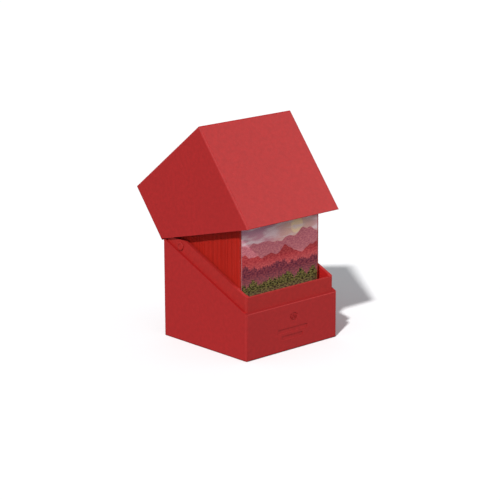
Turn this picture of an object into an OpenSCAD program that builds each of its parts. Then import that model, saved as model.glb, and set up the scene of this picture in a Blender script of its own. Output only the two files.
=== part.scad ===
// Hard plastic box for a deck of sleeved trading cards. A lower shell with a slanted rim holds a liner
// tray that stands up out of it, and a hood lid fits over the liner down to the same slanted seam.
// The lid is drawn rocked open on the back edge, leaning over the deck.
// Origin: centre of the underside of the lower shell. +X right, +Y back, +Z up, millimetres.

/* [Case] */
// Outside width of the case
case_w = 76; // [75.8:0.1:80]
// Outside depth of the case
case_d = 76; // [75.8:0.1:76.4]
// Outside height of the closed case
case_h = 100.6; // [100:0.1:104]
// Height of the slanted seam at the front face
seam_front_z = 29.3; // [24:0.1:34]
// Height of the slanted seam at the back face
seam_back_z = 62.8; // [61.5:0.1:62.8]
// Gap left between the lid's mouth and the lower shell when closed
seam_gap = 0.3; // [0.3:0.05:0.5]
// Radius of the outer edges
edge_r = 1.5; // [1:0.1:2]

/* [Lower shell] */
// Wall of the lower shell
shell_wall = 1.75; // [1.5:0.05:1.8]
// Floor of the lower shell
shell_floor = 1.4; // [1.2:0.1:1.4]
// Radius of the bottom edges
foot_r = 1; // [0.6:0.1:1.4]
// Radius of the rear top edge, which gives the lid room to rock
rear_r = 1.5; // [1.3:0.1:1.7]

/* [Liner] */
// Wall of the liner tray
liner_wall = 2.1; // [1.8:0.1:2.4]
// Floor of the liner tray
liner_floor = 1.4; // [1.2:0.1:1.4]
// Height of the liner's slanted rim above the seam
rim_rise = 9.2; // [8:0.1:10]
// Height of the liner's level rear rim
rim_top_z = 63.9; // [63.6:0.1:64.2]
// How far the level top of the liner's front wall lies below the front end of its slanted rim
front_dip = 0.3; // [0.3:0.1:0.6]
// Glue gap between the liner and the lower shell
glue_gap = 0.05; // [0.04:0.01:0.1]

/* [Lid] */
// Wall of the lid
lid_wall = 1.5; // [1.3:0.05:1.5]
// How far the outer edge of the lid's rear wall reaches down over the lower shell's rounded rear edge
heel_drop = 1; // [0.2:0.1:1]
// Opening angle, from closed, at which the lid is drawn
lid_open = 38; // [35:1:75]
// Depth of the line on which the lid rocks
rock_y = 37.06; // [37:0.02:37.1]
// Height of the line on which the lid rocks
rock_z = 58.7; // [58.6:0.05:58.8]

/* [Snap studs] */
// Depth position of the studs
stud_y = 23.3; // [22.5:0.1:24]
// Height of the studs
stud_z = 60; // [59.5:0.1:60]
// Radius of a stud's head
stud_r = 2.7; // [2.5:0.1:3.1]
// How far a stud's head stands out of the liner
stud_proud = 0.85; // [0.6:0.05:0.9]
// Radius of a stud's shank
shank_r = 1.6; // [1.2:0.1:2]

/* [Cards] */
// Number of sleeved cards, the front one included
card_count = 100; // [100]
// Width of a sleeve
sleeve_w = 66; // [65:0.5:66.5]
// Height of a sleeve
sleeve_h = 91; // [90:0.5:91]
// Width of a card
card_w = 63; // [62:0.5:63]
// Height of a card
card_h = 88; // [87:0.5:88]
// Thickness of a card
card_t = 0.32; // [0.28:0.02:0.34]
// Thickness of one sleeve film
film_t = 0.08; // [0.06:0.01:0.1]
// Depth of the deck that each sleeved card takes up
card_pitch = 0.61; // [0.59:0.01:0.61]
// Depth position of the deck's front face
deck_front_y = -27.2; // [-27.2:0.1:-27]

/* [Front ornament] */
// Depth of the pressed-in ornament
ornament_deep = 0.3; // [0.2:0.05:0.4]
// Width of the upper bar of the ornament
bar_w = 25; // [20:1:28]

/* [Hidden] */
$fn = 96;
nip = 0.01;
over = 5;
round_r = 0.6;
half_w = case_w / 2;
half_d = case_d / 2;
seam_slope = (seam_back_z - seam_front_z) / case_d;
liner_w = case_w - 2 * (shell_wall + glue_gap);
liner_d = case_d - 2 * (shell_wall + glue_gap);
liner_base_z = shell_floor + glue_gap;
rim_front_z = seam_front_z + rim_rise + seam_slope * (half_d - liner_d / 2);
rim_knee_y = (rim_top_z - rim_front_z) / seam_slope - liner_d / 2;
mouth_lift = seam_gap * sqrt(1 + seam_slope * seam_slope);
card_z = liner_base_z + liner_floor + glue_gap;
group_size = 5;
group_count = card_count / group_size;

// Node name of a group of sleeved cards, counted from the front of the deck
function group_name(g) = str("sleeved_cards_", g < 10 ? "0" : "", g);

// ---- outlines ----

// Rectangle round the origin with rounded corners
module rounded_rect(w, h, r) {
    square([w - 2 * r, h], center = true);
    square([w, h - 2 * r], center = true);
    for (x = [-1, 1], y = [-1, 1])
        translate([x * (w / 2 - r), y * (h / 2 - r)]) circle(r);
}

function unit(v) = v / norm(v);

// The three points that replace corner i of an outline: where its arc starts, the arc's centre and its end
function corner(points, radii, i) =
    let (n = len(points),
         p = points[i],
         u = unit(points[(i + n - 1) % n] - p),
         v = unit(points[(i + 1) % n] - p),
         half = acos(u * v) / 2,
         run = radii[i] / tan(half))
    [p + u * run, p + unit(u + v) * radii[i] / sin(half), p + v * run];

// Outline of any convex shape with a radius at each corner
module rounded_outline(points, radii) {
    polygon([for (i = [0 : len(points) - 1], c = corner(points, radii, i)) c]);
    for (i = [0 : len(points) - 1])
        translate(corner(points, radii, i)[1]) circle(radii[i]);
}

// Extrudes an outline drawn in depth (x) and height (y) across the width w
module across(w) {
    translate([-w / 2, 0, 0]) rotate([90, 0, 90]) linear_extrude(w) children();
}

// Extrudes an outline drawn in width (x) and height (y) through the depth d
module through(d) {
    translate([0, d / 2, 0]) rotate([90, 0, 0]) linear_extrude(d) children();
}

// ---- lower shell ----

module shell_block() {
    intersection() {
        linear_extrude(case_h) rounded_rect(case_w, case_d, edge_r);
        across(case_w) rounded_outline(
            [[-half_d, 0], [half_d, 0], [half_d, seam_back_z], [-half_d, seam_front_z]],
            [foot_r, foot_r, rear_r, round_r]);
        through(case_d) rounded_outline(
            [[-half_w, 0], [half_w, 0], [half_w, case_h], [-half_w, case_h]],
            [foot_r, foot_r, round_r, round_r]);
    }
}

// A fan of three card outlines over two plain bars
module ornament() {
    fan_x = 1;
    fan_z = 18.4;
    mini_w = 3.4;
    mini_h = 4.8;
    line = 0.5;
    for (turn = [-24, 0, 24])
        translate([fan_x, fan_z]) rotate(turn) translate([0, mini_h / 2]) difference() {
            rounded_rect(mini_w, mini_h, round_r);
            rounded_rect(mini_w - 2 * line, mini_h - 2 * line, round_r / 2);
        }
    translate([0, 13]) rounded_rect(bar_w, 2.6, round_r);
    translate([0, 8.6]) rounded_rect(bar_w * 0.7, 2.6, round_r);
}

module base_shell() {
    color([0.66, 0.17, 0.17]) difference() {
        shell_block();
        translate([0, 0, shell_floor]) linear_extrude(case_h)
            rounded_rect(liner_w + 2 * glue_gap, liner_d + 2 * glue_gap, edge_r - glue_gap);
        translate([0, -half_d + ornament_deep / 2 - over / 2, 0]) through(over + ornament_deep) ornament();
    }
}

// ---- liner tray ----

module rim_outline() {
    rounded_outline(
        [[-liner_d / 2, liner_base_z], [liner_d / 2, liner_base_z],
         [liner_d / 2, rim_top_z], [rim_knee_y, rim_top_z], [-liner_d / 2, rim_front_z]],
        [round_r, round_r, round_r, 9, round_r / 2]);
}

module liner_tray() {
    inner_w = liner_w - 2 * liner_wall;
    inner_d = liner_d - 2 * liner_wall;
    color([0.62, 0.16, 0.15]) difference() {
        intersection() {
            linear_extrude(case_h) rounded_rect(liner_w, liner_d, edge_r - glue_gap);
            across(liner_w) rim_outline();
        }
        translate([0, 0, liner_base_z + liner_floor]) linear_extrude(case_h) rounded_rect(inner_w, inner_d, round_r);
        translate([0, stud_y, stud_z]) rotate([0, 90, 0]) cylinder(h = case_w, r = shank_r + glue_gap, center = true);
        // The front wall ends level between the slanted tops of the side walls
        translate([-inner_w / 2 + round_r, -liner_d / 2 - over, rim_front_z - front_dip])
            cube([inner_w - 2 * round_r, over + 2 * liner_wall, over]);
    }
}

// ---- snap studs ----

// Half outline of a stud, radius by height: shank, flat head with a rounded edge and a dished face
module stud_outline() {
    dish_r = stud_r * 0.55;
    dish = 0.35;
    difference() {
        union() {
            translate([0, -liner_wall]) square([shank_r, liner_wall + nip]);
            translate([0, 0]) square([stud_r - stud_proud / 2, stud_proud]);
            square([stud_r, stud_proud / 2]);
            translate([stud_r - stud_proud / 2, stud_proud / 2]) circle(stud_proud / 2);
        }
        translate([-nip, stud_proud - dish]) square([dish_r + nip, over]);
    }
}

// side is -1 for the left wall and 1 for the right wall
module snap_stud(side) {
    color([0.7, 0.18, 0.17])
        translate([side * liner_w / 2, stud_y, stud_z]) rotate([0, side * 90, 0])
            rotate_extrude() stud_outline();
}

// ---- lid ----

// Turns closed-lid coordinates into the drawn, open position
module rocked() {
    translate([0, rock_y, rock_z]) rotate([-lid_open, 0, 0]) translate([0, -rock_y, -rock_z]) children();
}

module lid_block() {
    mouth_back_z = seam_back_z + mouth_lift;
    heel_y = half_d - lid_wall + 0.3;
    intersection() {
        linear_extrude(case_h) rounded_rect(case_w, case_d, edge_r);
        across(case_w) {
            rounded_outline(
                [[-half_d, seam_front_z + mouth_lift], [half_d, mouth_back_z],
                 [half_d, case_h], [-half_d, case_h]],
                [round_r / 2, round_r / 2, edge_r, edge_r]);
            polygon([[heel_y, mouth_back_z - seam_slope * (half_d - heel_y)], [half_d, mouth_back_z - heel_drop],
                     [half_d, mouth_back_z + lid_wall], [heel_y, mouth_back_z + lid_wall]]);
        }
        through(case_d) rounded_outline(
            [[-half_w, 0], [half_w, 0], [half_w, case_h], [-half_w, case_h]],
            [round_r, round_r, edge_r, edge_r]);
    }
}

// Shallow track inside each side wall, in which the stud runs from its snapped seat out of the mouth
module stud_track() {
    room = 0.3;
    reach = norm([stud_y - rock_y, stud_z - rock_z]);
    half_track = stud_r + room;
    start = atan2(stud_z - rock_z, stud_y - rock_y) - asin(half_track / reach);
    sweep = 75;
    across_w = 2 * (liner_w / 2 + stud_proud + room);
    translate([-across_w / 2, rock_y, rock_z]) rotate([90, 0, 90]) rotate([0, 0, start])
        rotate_extrude(angle = sweep) translate([reach - half_track, 0]) square([2 * half_track, across_w]);
}

module lid_shell() {
    color([0.74, 0.24, 0.24]) rocked() difference() {
        lid_block();
        translate([0, 0, -over]) linear_extrude(case_h - lid_wall + over)
            rounded_rect(case_w - 2 * lid_wall, case_d - 2 * lid_wall, round_r);
        stud_track();
    }
}

// ---- cards ----

// Upright plate with its front face at depth y, standing on height z
module plate(w, h, t, r, y, z) {
    translate([0, y + t / 2, z + h / 2]) through(t) rounded_rect(w, h, r);
}

module front_card() {
    color([0.72, 0.45, 0.55])
        plate(card_w, card_h, card_t, 3, deck_front_y + film_t + glue_gap / 2, card_z + 1);
}

// Clear pocket round the front card, open at the top
module front_sleeve() {
    weld = 1;
    color([0.9, 0.85, 0.88, 0.35]) difference() {
        plate(sleeve_w, sleeve_h, card_t + 2 * film_t + glue_gap, 1, deck_front_y, card_z);
        plate(sleeve_w - 2 * weld, sleeve_h, card_t + glue_gap, round_r, deck_front_y + film_t, card_z + weld / 2);
    }
}

// One group of sleeved cards, each a plate of its own; the front card has its own nodes
module sleeved_cards(g) {
    stack_gap = 0.03;
    first = (g - 1) * group_size;
    color([0.65, 0.16, 0.13])
        for (i = [max(1, first) : first + group_size - 1])
            plate(sleeve_w, sleeve_h, card_pitch - stack_gap, 1, deck_front_y + i * card_pitch, card_z);
}

base_shell();
liner_tray();
snap_stud(-1);  // snap_stud_left
snap_stud(1);  // snap_stud_right
lid_shell();
front_card();
front_sleeve();
for (g = [1 : group_count])
    sleeved_cards(g);
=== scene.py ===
"""Looks of a card deck box: moulded red case, lid rocked open, and a deck of sleeved cards inside."""

import math
import random

import bmesh
import bpy
from mathutils import Matrix, Vector


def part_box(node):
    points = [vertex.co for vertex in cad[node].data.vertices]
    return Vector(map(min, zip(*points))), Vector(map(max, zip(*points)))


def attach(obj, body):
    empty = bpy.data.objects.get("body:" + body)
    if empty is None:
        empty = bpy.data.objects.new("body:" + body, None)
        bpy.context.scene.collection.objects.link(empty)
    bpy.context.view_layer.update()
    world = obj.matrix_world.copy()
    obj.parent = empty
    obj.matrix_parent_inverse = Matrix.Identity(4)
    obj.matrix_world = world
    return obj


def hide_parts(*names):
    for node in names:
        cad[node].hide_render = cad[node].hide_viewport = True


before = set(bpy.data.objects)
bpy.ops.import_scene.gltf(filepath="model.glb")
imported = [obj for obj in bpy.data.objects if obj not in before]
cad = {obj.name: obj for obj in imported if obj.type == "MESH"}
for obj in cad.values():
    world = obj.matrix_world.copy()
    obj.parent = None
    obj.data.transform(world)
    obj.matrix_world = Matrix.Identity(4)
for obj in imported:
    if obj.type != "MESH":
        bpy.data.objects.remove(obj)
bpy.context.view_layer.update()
MM = 0.001

# ---- camera ----

CAMERA_AZIMUTH = math.radians(-42.52)
CAMERA_ELEVATION = math.radians(14.79)
CAMERA_ROLL = math.radians(-0.19)
CAMERA_DISTANCE = 1.2065
CAMERA_AIM = Vector((0.0009, 0.0010, 0.0550))
CAMERA_LENS = 140.7


def direction(azimuth, elevation):
    """Unit vector towards a place seen at that azimuth (0 is in front, at -Y) and elevation."""
    flat = math.cos(elevation)
    return Vector((math.sin(azimuth) * flat, -math.cos(azimuth) * flat, math.sin(elevation)))


def make_camera():
    back = direction(CAMERA_AZIMUTH, CAMERA_ELEVATION)
    right = Vector((math.cos(CAMERA_AZIMUTH), math.sin(CAMERA_AZIMUTH), 0))
    turn = Matrix((right, back.cross(right), back)).transposed() @ Matrix.Rotation(CAMERA_ROLL, 3, "Z")
    data = bpy.data.cameras.new("camera")
    data.lens = CAMERA_LENS
    data.sensor_width = 36
    camera = bpy.data.objects.new("camera", data)
    camera.matrix_world = Matrix.LocRotScale(CAMERA_AIM + back * CAMERA_DISTANCE, turn, None)
    bpy.context.scene.collection.objects.link(camera)
    bpy.context.scene.camera = camera


# ---- floor and lights ----

FLOOR_SIZE = 60.0
FLOOR_WHITE = 0.97
FLOOR_BOUNCE = 0.4
SUN_TOWARDS = Vector((-0.925, -0.514, 1.0))
SUN_STRENGTH = 3.27
SUN_ANGLE = math.radians(3.2)
SKY_STRENGTH = 0.37
SKY_COLOUR = (0.97, 1.0, 1.04)
SOFTBOX_SIZE = 0.9
SOFTBOX_DISTANCE = 1.8
SOFTBOXES = {
    "right_softbox": (Vector((0.66, -0.50, 0.42)), 22.0),
    "left_softbox": (Vector((-1.00, -0.15, 0.14)), 11.0),
    "back_softbox": (Vector((0.35, 1.00, 0.30)), 9.0),
}


def make_floor():
    """A plain pale floor, which throws less light back on the case than it shows."""
    mesh = bpy.data.meshes.new("floor")
    half = FLOOR_SIZE / 2
    corners = [(-half, -half, 0), (half, -half, 0), (half, half, 0), (-half, half, 0)]
    mesh.from_pydata(corners, [], [(0, 1, 2, 3)])
    floor = bpy.data.objects.new("floor", mesh)
    bpy.context.scene.collection.objects.link(floor)
    material, tree, bsdf = new_material("floor_white")
    bsdf.inputs["Roughness"].default_value = 0.9
    bsdf.inputs["Specular IOR Level"].default_value = 0
    bounced = add(tree, "ShaderNodeLightPath").outputs["Is Diffuse Ray"]
    tone = between(tree, bounced, (FLOOR_WHITE,) * 3, (FLOOR_BOUNCE,) * 3)
    tree.links.new(tone, bsdf.inputs["Base Color"])
    mesh.materials.append(material)
    floor.visible_glossy = False
    return floor


def make_softboxes(floor):
    """Round soft lights, flagged off the floor so that the key light's shadow stays deep."""
    flagged = bpy.data.collections.new("softbox_misses")
    flagged.objects.link(floor)
    flagged.collection_objects[0].light_linking.link_state = "EXCLUDE"
    for name, (towards, strength) in SOFTBOXES.items():
        light = bpy.data.lights.new(name, "AREA")
        light.shape = "DISK"
        light.size = SOFTBOX_SIZE
        light.energy = strength
        box = bpy.data.objects.new(name, light)
        box.location = CAMERA_AIM + towards.normalized() * SOFTBOX_DISTANCE
        box.rotation_euler = towards.to_track_quat("Z", "Y").to_euler()
        box.light_linking.receiver_collection = flagged
        bpy.context.scene.collection.objects.link(box)


def make_sky():
    """An even sky above the horizon and nothing below it; the camera sees it as a white backdrop."""
    world = bpy.data.worlds.new("studio")
    world.use_nodes = True
    tree = world.node_tree
    background = tree.nodes["Background"]
    towards = add(tree, "ShaderNodeTexCoord").outputs["Generated"]
    up = add(tree, "ShaderNodeSeparateXYZ", {0: towards}).outputs["Z"]
    sky = ramp(tree, up, -0.02, 0.02, 0, SKY_STRENGTH)
    seen = add(tree, "ShaderNodeLightPath").outputs["Is Camera Ray"]
    strength = add(tree, "ShaderNodeMix", {"Factor": seen, "A": sky, "B": 1.0})
    tree.links.new(strength.outputs["Result"], background.inputs["Strength"])
    tree.links.new(between(tree, seen, SKY_COLOUR, (1.0, 1.0, 1.0)), background.inputs["Color"])
    bpy.context.scene.world = world


def make_lights(floor):
    sun = bpy.data.lights.new("key_sun", "SUN")
    sun.energy = SUN_STRENGTH
    sun.angle = SUN_ANGLE
    key = bpy.data.objects.new("key_sun", sun)
    key.rotation_euler = SUN_TOWARDS.to_track_quat("Z", "Y").to_euler()
    bpy.context.scene.collection.objects.link(key)
    make_softboxes(floor)
    make_sky()
    bpy.context.scene.view_settings.view_transform = "Standard"


# ---- material helpers ----


def new_material(name):
    material = bpy.data.materials.new(name)
    material.use_nodes = True
    return material, material.node_tree, material.node_tree.nodes["Principled BSDF"]


def add(tree, kind, inputs=None, **settings):
    """Adds a shader node. inputs maps a socket's name or number to a value or to another node's output."""
    made = tree.nodes.new(kind)
    for key, value in settings.items():
        setattr(made, key, value)
    for key, value in (inputs or {}).items():
        socket = made.inputs[key]
        if key in ("A", "B") and kind == "ShaderNodeMix" and settings.get("data_type") == "RGBA":
            socket = made.inputs[{"A": 6, "B": 7}[key]]
        if isinstance(value, bpy.types.NodeSocket):
            tree.links.new(value, socket)
        else:
            socket.default_value = value
    return made


def sums(tree, operation, *values):
    """One Math node on plain numbers or outputs."""
    return add(tree, "ShaderNodeMath", dict(enumerate(values)), operation=operation).outputs[0]


def between(tree, factor, a, b):
    """Mixes two colours, given as three numbers or as an output."""
    ends = {key: (*v, 1) if isinstance(v, tuple) else v for key, v in (("A", a), ("B", b))}
    return add(tree, "ShaderNodeMix", {"Factor": factor, **ends}, data_type="RGBA").outputs[2]


def noise(tree, place, scale, detail=2.0):
    settings = {"Vector": place, "Scale": scale, "Detail": detail}
    return add(tree, "ShaderNodeTexNoise", settings).outputs["Fac"]


def ramp(tree, value, low, high, start=0.0, end=1.0):
    """Maps value from low..high to start..end, held at both ends."""
    limits = {"From Min": low, "From Max": high, "To Min": start, "To Max": end}
    return add(tree, "ShaderNodeMapRange", {"Value": value, **limits}).outputs["Result"]


def shade(colour, by):
    return tuple(c * by for c in colour)


# ---- moulded plastic ----

CASE_COLOUR = (0.303, 0.0105, 0.0107)
LINER_COLOUR = (0.300, 0.0110, 0.0095)
SEAM_NORMAL = Vector((0, -0.403, 0.915))
# Painted shade for the slanted seam ledge: a deeper, darker red than the case, darkest along the front.
SIDE_LEDGE_SHADE = (0.285, 0.002, 0.002)
FRONT_LEDGE_SHADE = (0.195, 0.002, 0.002)
LEDGE_FRONT = -36.2 * MM
LINER_INSIDE = 34.1 * MM
# Painted red bounce light on the liner's inner walls: a brighter, purer red than the liner itself.
INNER_BOUNCE_RED = (0.340, 0.002, 0.002)


def ledge_painted_shade(tree, coordinates):
    """Where the slanted ledge of the seam is, and the painted shade laid on it, deeper along the front than
    the sides.
    """
    normals = {0: coordinates["Normal"], 1: SEAM_NORMAL}
    lie = add(tree, "ShaderNodeVectorMath", normals, operation="DOT_PRODUCT")
    back = add(tree, "ShaderNodeSeparateXYZ", {0: coordinates["Object"]}).outputs["Y"]
    # Painted shade: the ledge colour, darker along the front than along the sides.
    colour = between(tree, ramp(tree, back, LEDGE_FRONT - 0.2 * MM, LEDGE_FRONT), FRONT_LEDGE_SHADE, SIDE_LEDGE_SHADE)
    return ramp(tree, lie.outputs["Value"], 0.95, 0.99), colour


def inner_walls_painted_bounce(tree, coordinates):
    """Where the liner's inner faces are, and the red bounce light painted on them."""
    axes = add(tree, "ShaderNodeSeparateXYZ", {0: coordinates["Object"]}).outputs
    out = sums(tree, "MAXIMUM", sums(tree, "ABSOLUTE", axes["X"]), sums(tree, "ABSOLUTE", axes["Y"]))
    return ramp(tree, out, LINER_INSIDE + 0.1 * MM, LINER_INSIDE), INNER_BOUNCE_RED


def red_plastic(name, colour, grain, roughness, painted_light_at):
    """Moulded plastic: fine pebble grain, faint mottling and specks, and a painted colour for light and
    shade where the given mask puts it.
    """
    material, tree, bsdf = new_material(name)
    coordinates = add(tree, "ShaderNodeTexCoord").outputs
    place = coordinates["Object"]
    pebbles = add(tree, "ShaderNodeTexVoronoi", {"Vector": place, "Scale": 1250, "Smoothness": 0.7},
                  feature="SMOOTH_F1").outputs["Distance"]
    fine = noise(tree, place, 2600, 3)
    mottle = noise(tree, place, 420, 4)
    broad = noise(tree, place, 42, 3)
    height = sums(tree, "ADD", sums(tree, "MULTIPLY", pebbles, 1.4), fine)
    bump = add(tree, "ShaderNodeBump", {"Height": height, "Strength": grain, "Distance": 0.06 * MM})
    tree.links.new(bump.outputs["Normal"], bsdf.inputs["Normal"])
    body = between(tree, ramp(tree, mottle, 0.32, 0.68), shade(colour, 0.92), shade(colour, 1.08))
    body = between(tree, ramp(tree, broad, 0.35, 0.65, 0, 0.25), body, shade(colour, 0.92))
    speck = ramp(tree, noise(tree, place, 900, 1), 0.70, 0.76, 0, 0.35)
    body = between(tree, speck, body, tuple(c * 1.2 + 0.008 for c in colour))
    # Painted light and shade: painted shade on the case's seam ledge and painted red bounce light on the
    # liner's inner walls, laid by the given mask. Those places are rougher too.
    painted_light_mask, deep = painted_light_at(tree, coordinates)
    body = between(tree, painted_light_mask, body, deep)
    tree.links.new(body, bsdf.inputs["Base Color"])
    satin = ramp(tree, fine, 0.3, 0.7, roughness - 0.07, roughness + 0.07)
    tree.links.new(sums(tree, "MULTIPLY_ADD", painted_light_mask, 0.3, satin), bsdf.inputs["Roughness"])
    bsdf.inputs["Specular IOR Level"].default_value = 0.27
    return material


def link_piece(name, mesh, body, slot, node, *materials):
    """Puts a finished mesh in the scene: the body it rides on, the CAD node it replaces, its finish."""
    piece = bpy.data.objects.new(name, mesh)
    bpy.context.scene.collection.objects.link(piece)
    mesh.materials.clear()
    for material in materials:
        mesh.materials.append(material)
    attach(piece, body)
    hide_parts(node)
    return piece


def refined(node, name, body, slot, material, width):
    """A copy of a CAD part with its flat faces merged and its sharp edges softly rounded."""
    mesh = cad[node].data.copy()
    bm = bmesh.new()
    bm.from_mesh(mesh)
    bmesh.ops.remove_doubles(bm, verts=bm.verts, dist=1e-6)
    bmesh.ops.dissolve_limit(bm, angle_limit=math.radians(0.3), verts=bm.verts, edges=bm.edges)
    sharp = [e for e in bm.edges if len(e.link_faces) == 2 and e.calc_face_angle() > math.radians(30)]
    bmesh.ops.bevel(bm, geom=sharp, offset=width, segments=3, profile=0.5, affect="EDGES",
                    clamp_overlap=True)
    bm.to_mesh(mesh)
    bm.free()
    mesh.shade_smooth()
    piece = link_piece(name, mesh, body, slot, node, material)
    piece.modifiers.new("flat_faces", "WEIGHTED_NORMAL").weight = 100
    return piece


# ---- the deck: sleeves and cards ----

SLEEVE_W, SLEEVE_H = 66 * MM, 91 * MM
CARD_W, CARD_H, CARD_T = 63 * MM, 88 * MM, 0.32 * MM
FILM_T = 0.08 * MM
SEAM_W = 0.8 * MM
PITCH = 0.61 * MM
CARD_CORNER = 2.5 * MM
deck_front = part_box("front_sleeve")[0][1]
deck_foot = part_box("front_sleeve")[0][2]


def prism(bm, outline, start, end, place, material):
    """Extrudes an outline between two heights. place turns (u, v, height) into a point."""
    low = [bm.verts.new(place(u, v, start)) for u, v in outline]
    high = [bm.verts.new(place(u, v, end)) for u, v in outline]
    faces = [bm.faces.new(low[::-1]), bm.faces.new(high)]
    for i in range(len(outline)):
        j = (i + 1) % len(outline)
        faces.append(bm.faces.new((low[i], low[j], high[j], high[i])))
    for face in faces:
        face.material_index = material


def film_outline(flat, seam):
    """Cross-section of one film of a sleeve: flat over the card, and stepping to the seam at both sides."""
    half, shoulder = SLEEVE_W / 2, SLEEVE_W / 2 - SEAM_W
    bend = shoulder - 0.5 * MM
    front = [(-half, seam), (-shoulder, seam), (-bend, flat), (bend, flat), (shoulder, seam), (half, seam)]
    return front + [(u, v + FILM_T) for u, v in reversed(front)]


def card_outline():
    """A card's outline about its middle, with round corners."""
    points = []
    for quarter in range(4):
        ends = (quarter in (0, 3), quarter in (0, 1))
        u0 = (1 if ends[0] else -1) * (CARD_W / 2 - CARD_CORNER)
        v0 = (1 if ends[1] else -1) * (CARD_H / 2 - CARD_CORNER)
        for step in range(4):
            angle = math.radians(90 * quarter + 30 * step)
            points.append((u0 + CARD_CORNER * math.cos(angle), v0 + CARD_CORNER * math.sin(angle)))
    return points


def add_sleeve(bm, front, shift, lean, drop, films, card_material):
    """One sleeved card. shift moves it along X, lean tips it sideways, drop lowers its mouth."""
    top = deck_foot + SLEEVE_H - drop

    def stand(u, v, height):
        return Vector((u + shift + lean * (height - deck_foot), v, height))

    middle = front + PITCH / 2
    prism(bm, film_outline(front, middle - FILM_T), deck_foot, top - 0.15 * MM, stand, films[0])
    prism(bm, film_outline(front + PITCH - 0.03 * MM - FILM_T, middle), deck_foot, top, stand, films[1])
    foot = deck_foot + 0.6 * MM
    card_front = middle - CARD_T / 2
    prism(bm, card_outline(), card_front, card_front + CARD_T,
          lambda u, v, y: stand(u, y, foot + CARD_H / 2 - drop + v), card_material)


def make_sleeves(draws, film, card_edge):
    for group in range(1, 21):
        mesh = bpy.data.meshes.new(f"sleeves_{group:02d}")
        bm = bmesh.new()
        for card in range(max(1, 5 * (group - 1)), 5 * group):
            shift = draws.uniform(-0.12, 0.12) * MM
            lean = draws.uniform(-1, 1) * 0.0012
            drop = draws.uniform(0.0, 0.6) * MM
            add_sleeve(bm, deck_front + card * PITCH, shift, lean, drop, (0, 0), 1)
        bmesh.ops.recalc_face_normals(bm, faces=bm.faces)
        bm.to_mesh(mesh)
        bm.free()
        link_piece(f"sleeves_{group:02d}", mesh, "case", "sleeve_red", f"sleeved_cards_{group:02d}",
                   film, card_edge)


def make_front_sleeve(clear, film):
    mesh = bpy.data.meshes.new("clear_sleeve")
    bm = bmesh.new()
    top = deck_foot + SLEEVE_H
    seam = deck_front + 0.30 * MM

    def stand(u, v, height):
        return Vector((u, v, height))

    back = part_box("front_sleeve")[1][1] - FILM_T
    prism(bm, film_outline(deck_front, seam - FILM_T), deck_foot, top - 0.2 * MM, stand, 0)
    prism(bm, film_outline(back, seam + 0.01 * MM), deck_foot, top, stand, 1)
    bmesh.ops.recalc_face_normals(bm, faces=bm.faces)
    bm.to_mesh(mesh)
    bm.free()
    link_piece("clear_sleeve", mesh, "case", "sleeve_clear", "front_sleeve", clear, film)


def film_red():
    """Thin orange-red film: each sleeve a little lighter or darker, with faint vertical drag marks."""
    material, tree, bsdf = new_material("film_red")
    place = add(tree, "ShaderNodeTexCoord").outputs["Object"]
    deep = add(tree, "ShaderNodeSeparateXYZ", {0: place}).outputs["Y"]
    count = sums(tree, "FLOOR", sums(tree, "DIVIDE", sums(tree, "SUBTRACT", deep, deck_front), PITCH))
    tone = add(tree, "ShaderNodeTexWhiteNoise", {"W": count}, noise_dimensions="1D").outputs["Value"]
    marks = add(tree, "ShaderNodeMapping", {"Vector": place, "Scale": (1, 1, 0.06)}).outputs["Vector"]
    drag = noise(tree, marks, 1500, 3)
    colour = between(tree, tone, (0.41, 0.015, 0.009), (0.54, 0.023, 0.014))
    colour = between(tree, ramp(tree, drag, 0.35, 0.7, 0, 0.3), colour, (0.57, 0.032, 0.020))
    tree.links.new(colour, bsdf.inputs["Base Color"])
    tree.links.new(ramp(tree, drag, 0.3, 0.7, 0.30, 0.48), bsdf.inputs["Roughness"])
    bump = add(tree, "ShaderNodeBump", {"Height": drag, "Strength": 0.2, "Distance": 0.04 * MM})
    tree.links.new(bump.outputs["Normal"], bsdf.inputs["Normal"])
    bsdf.inputs["Specular IOR Level"].default_value = 0.35
    return material


def card_stock():
    """Cut card edges: off-white fibres."""
    material, tree, bsdf = new_material("card_stock")
    place = add(tree, "ShaderNodeTexCoord").outputs["Object"]
    fibres = noise(tree, place, 3500, 3)
    tree.links.new(between(tree, fibres, (0.50, 0.46, 0.42), (0.78, 0.75, 0.70)), bsdf.inputs["Base Color"])
    tree.links.new(ramp(tree, fibres, 0.3, 0.7, 0.7, 0.9), bsdf.inputs["Roughness"])
    return material


def clear_film():
    """Clear glossy film: what it mirrors grows with the angle, and faint scuffs dull the gloss."""
    material, tree, bsdf = new_material("clear_film")
    tree.nodes.remove(bsdf)
    place = add(tree, "ShaderNodeTexCoord").outputs["Object"]
    drawn = add(tree, "ShaderNodeMapping", {"Vector": place, "Scale": (1, 1, 0.2)}).outputs["Vector"]
    scuffs = noise(tree, drawn, 900, 4)
    waves = noise(tree, place, 60, 2)
    bump = add(tree, "ShaderNodeBump", {"Height": waves, "Strength": 0.3, "Distance": 0.2 * MM})
    gloss = add(tree, "ShaderNodeBsdfGlossy", {
        "Color": (0.95, 0.95, 0.97, 1),
        "Normal": bump.outputs["Normal"],
        "Roughness": ramp(tree, scuffs, 0.4, 0.75, 0.08, 0.30),
    })
    through = add(tree, "ShaderNodeBsdfTransparent", {"Color": (0.99, 0.99, 0.99, 1)})
    slant = add(tree, "ShaderNodeLayerWeight", {"Blend": 0.5}).outputs["Facing"]
    mirrored = sums(tree, "MULTIPLY_ADD", sums(tree, "POWER", slant, 4.0), 0.8, 0.008)
    film = add(tree, "ShaderNodeMixShader", {0: mirrored, 1: through.outputs[0], 2: gloss.outputs[0]})
    tree.links.new(film.outputs[0], tree.nodes["Material Output"].inputs["Surface"])
    return material


# ---- the card's picture: a red evening over wooded hills ----

TREE_PITCH = 1.8
SUN_AT = (14, 74)
SUN_RADIUS = 5

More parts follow.
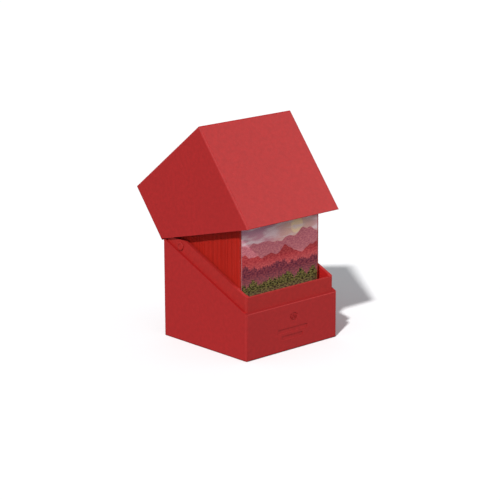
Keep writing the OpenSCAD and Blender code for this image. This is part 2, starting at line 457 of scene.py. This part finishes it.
PINK = (0.72, 0.30, 0.32)
LAVENDER = (0.46, 0.29, 0.44)
CLOUD = (0.78, 0.62, 0.64)
SUNLIGHT = (0.90, 0.66, 0.42)
HAZE = (0.62, 0.24, 0.24)
CUT_EDGE = (0.45, 0.22, 0.24)

# Far to near: the skyline's height and swing, its noise's scale and place, height of the treetops,
# dark colour and light colour.
HILLS = [
    (68, 5, 0.05, 10, 0.0, (0.46, 0.12, 0.16), (0.60, 0.20, 0.22)),
    (60, 5, 0.06, 90, 0.0, (0.34, 0.03, 0.04), (0.50, 0.07, 0.07)),
    (52, 4, 0.08, 170, 1.2, (0.10, 0.02, 0.04), (0.26, 0.05, 0.06)),
    (43, 4, 0.10, 260, 2.2, (0.01, 0.01, 0.006), (0.20, 0.17, 0.05)),
]


class Picture:
    """Paints masks and colours on the card's front, in millimetres: X across and Z up."""

    def __init__(self, tree, place):
        self.tree = tree
        self.plain = self.vector("MULTIPLY", place, (1000, 0, 1000))
        self.axes = add(tree, "ShaderNodeSeparateXYZ", {0: self.plain}).outputs
        self.colour = None

    def vector(self, operation, *values, result=0):
        inputs = dict(enumerate(values))
        return add(self.tree, "ShaderNodeVectorMath", inputs, operation=operation).outputs[result]

    def grain(self, scale, low, high, detail=4.0, squash=(1, 1, 1)):
        place = self.vector("MULTIPLY", self.plain, squash)
        return ramp(self.tree, noise(self.tree, place, scale, detail), low, high)

    def disc(self, middle, radius, soft):
        """1 inside a circle and 0 outside, over a soft rim."""
        far = self.vector("DISTANCE", self.plain, (middle[0], 0, middle[1]), result="Value")
        return ramp(self.tree, far, radius + soft, radius - soft)

    def below(self, height, swing, scale, offset, treetops):
        """1 below a rolling skyline, with pointed treetops along it."""
        across = sums(self.tree, "ADD", self.axes["X"], offset)
        line = add(self.tree, "ShaderNodeCombineXYZ", {"X": across}).outputs[0]
        crest = ramp(self.tree, noise(self.tree, line, scale), 0.3, 0.7, height - swing, height + swing)
        uneven = ramp(self.tree, noise(self.tree, line, 0.9), 0.3, 0.7, 0.3 * treetops, 1.7 * treetops)
        points = sums(self.tree, "PINGPONG", across, TREE_PITCH / 2)
        crest = sums(self.tree, "MULTIPLY_ADD", points, uneven, crest)
        return ramp(self.tree, sums(self.tree, "SUBTRACT", crest, self.axes["Z"]), -0.2, 0.2)

    def both(self, a, b):
        return sums(self.tree, "MULTIPLY", a, b)

    def lay(self, mask, colour, strength=1.0):
        """Paints a colour over what is there, as far as the mask lets it."""
        self.colour = between(self.tree, sums(self.tree, "MULTIPLY", mask, strength), self.colour, colour)


def paint_sky(art):
    """Pink to lavender, streaked with cloud, round a low sun."""
    art.colour = between(art.tree, ramp(art.tree, art.axes["Z"], 62, 88), PINK, LAVENDER)
    art.lay(art.disc(SUN_AT, 3 * SUN_RADIUS, 2 * SUN_RADIUS), SUNLIGHT, 0.5)
    art.lay(art.disc(SUN_AT, SUN_RADIUS, 0.3), SUNLIGHT)
    art.lay(art.grain(0.14, 0.48, 0.62, 4, (0.5, 1, 2.2)), CLOUD, 0.8)


def paint_hills(art):
    """Ridges from far to near, each wooded more darkly and standing in haze at its foot."""
    for height, swing, scale, offset, treetops, dark, light in HILLS:
        hill = art.below(height, swing, scale, offset, treetops)
        woods = art.grain(0.8, 0.42, 0.58, 4, (0.7, 1, 1.6))
        art.lay(hill, between(art.tree, woods, dark, light))
        foot = ramp(art.tree, art.axes["Z"], height - 3, height - 14)
        art.lay(art.both(hill, foot), HAZE, 0.35)


def card_print():
    """Printed card: the picture on its faces, plain stock on the cut edges, all under a satin varnish."""
    material, tree, bsdf = new_material("card_print")
    coordinates = add(tree, "ShaderNodeTexCoord")
    art = Picture(tree, coordinates.outputs["Object"])
    paint_sky(art)
    paint_hills(art)
    facing = add(tree, "ShaderNodeSeparateXYZ", {0: coordinates.outputs["Normal"]}).outputs["Y"]
    edge = ramp(tree, sums(tree, "ABSOLUTE", facing), 0.7, 0.5)
    art.lay(edge, CUT_EDGE)
    tree.links.new(art.colour, bsdf.inputs["Base Color"])
    tree.links.new(ramp(tree, art.grain(4, 0.3, 0.7, 2), 0, 1, 0.35, 0.5), bsdf.inputs["Roughness"])
    bsdf.inputs["Specular IOR Level"].default_value = 0.08
    return material


def finish_card(material):
    card = cad["front_card"]
    card.data.materials.clear()
    card.data.materials.append(material)


# ---- put together ----

EDGE_ROUND = 0.3 * MM
DECK_SEED = 7

make_camera()
make_lights(make_floor())
case_red = red_plastic("case_red", CASE_COLOUR, 0.4, 0.64, ledge_painted_shade)
liner_red = red_plastic("liner_red", LINER_COLOUR, 0.3, 0.60, inner_walls_painted_bounce)
refined("base_shell", "case_lower_shell", "case", "case_red", case_red, EDGE_ROUND)
refined("liner_tray", "case_liner", "case", "liner_red", liner_red, EDGE_ROUND)
refined("lid_shell", "lid_hood", "lid", "case_red", case_red, EDGE_ROUND)
refined("snap_stud_left", "stud_left", "case", "liner_red", liner_red, EDGE_ROUND / 2)
refined("snap_stud_right", "stud_right", "case", "liner_red", liner_red, EDGE_ROUND / 2)
film = film_red()
make_sleeves(random.Random(DECK_SEED), film, card_stock())
make_front_sleeve(clear_film(), film)
finish_card(card_print())
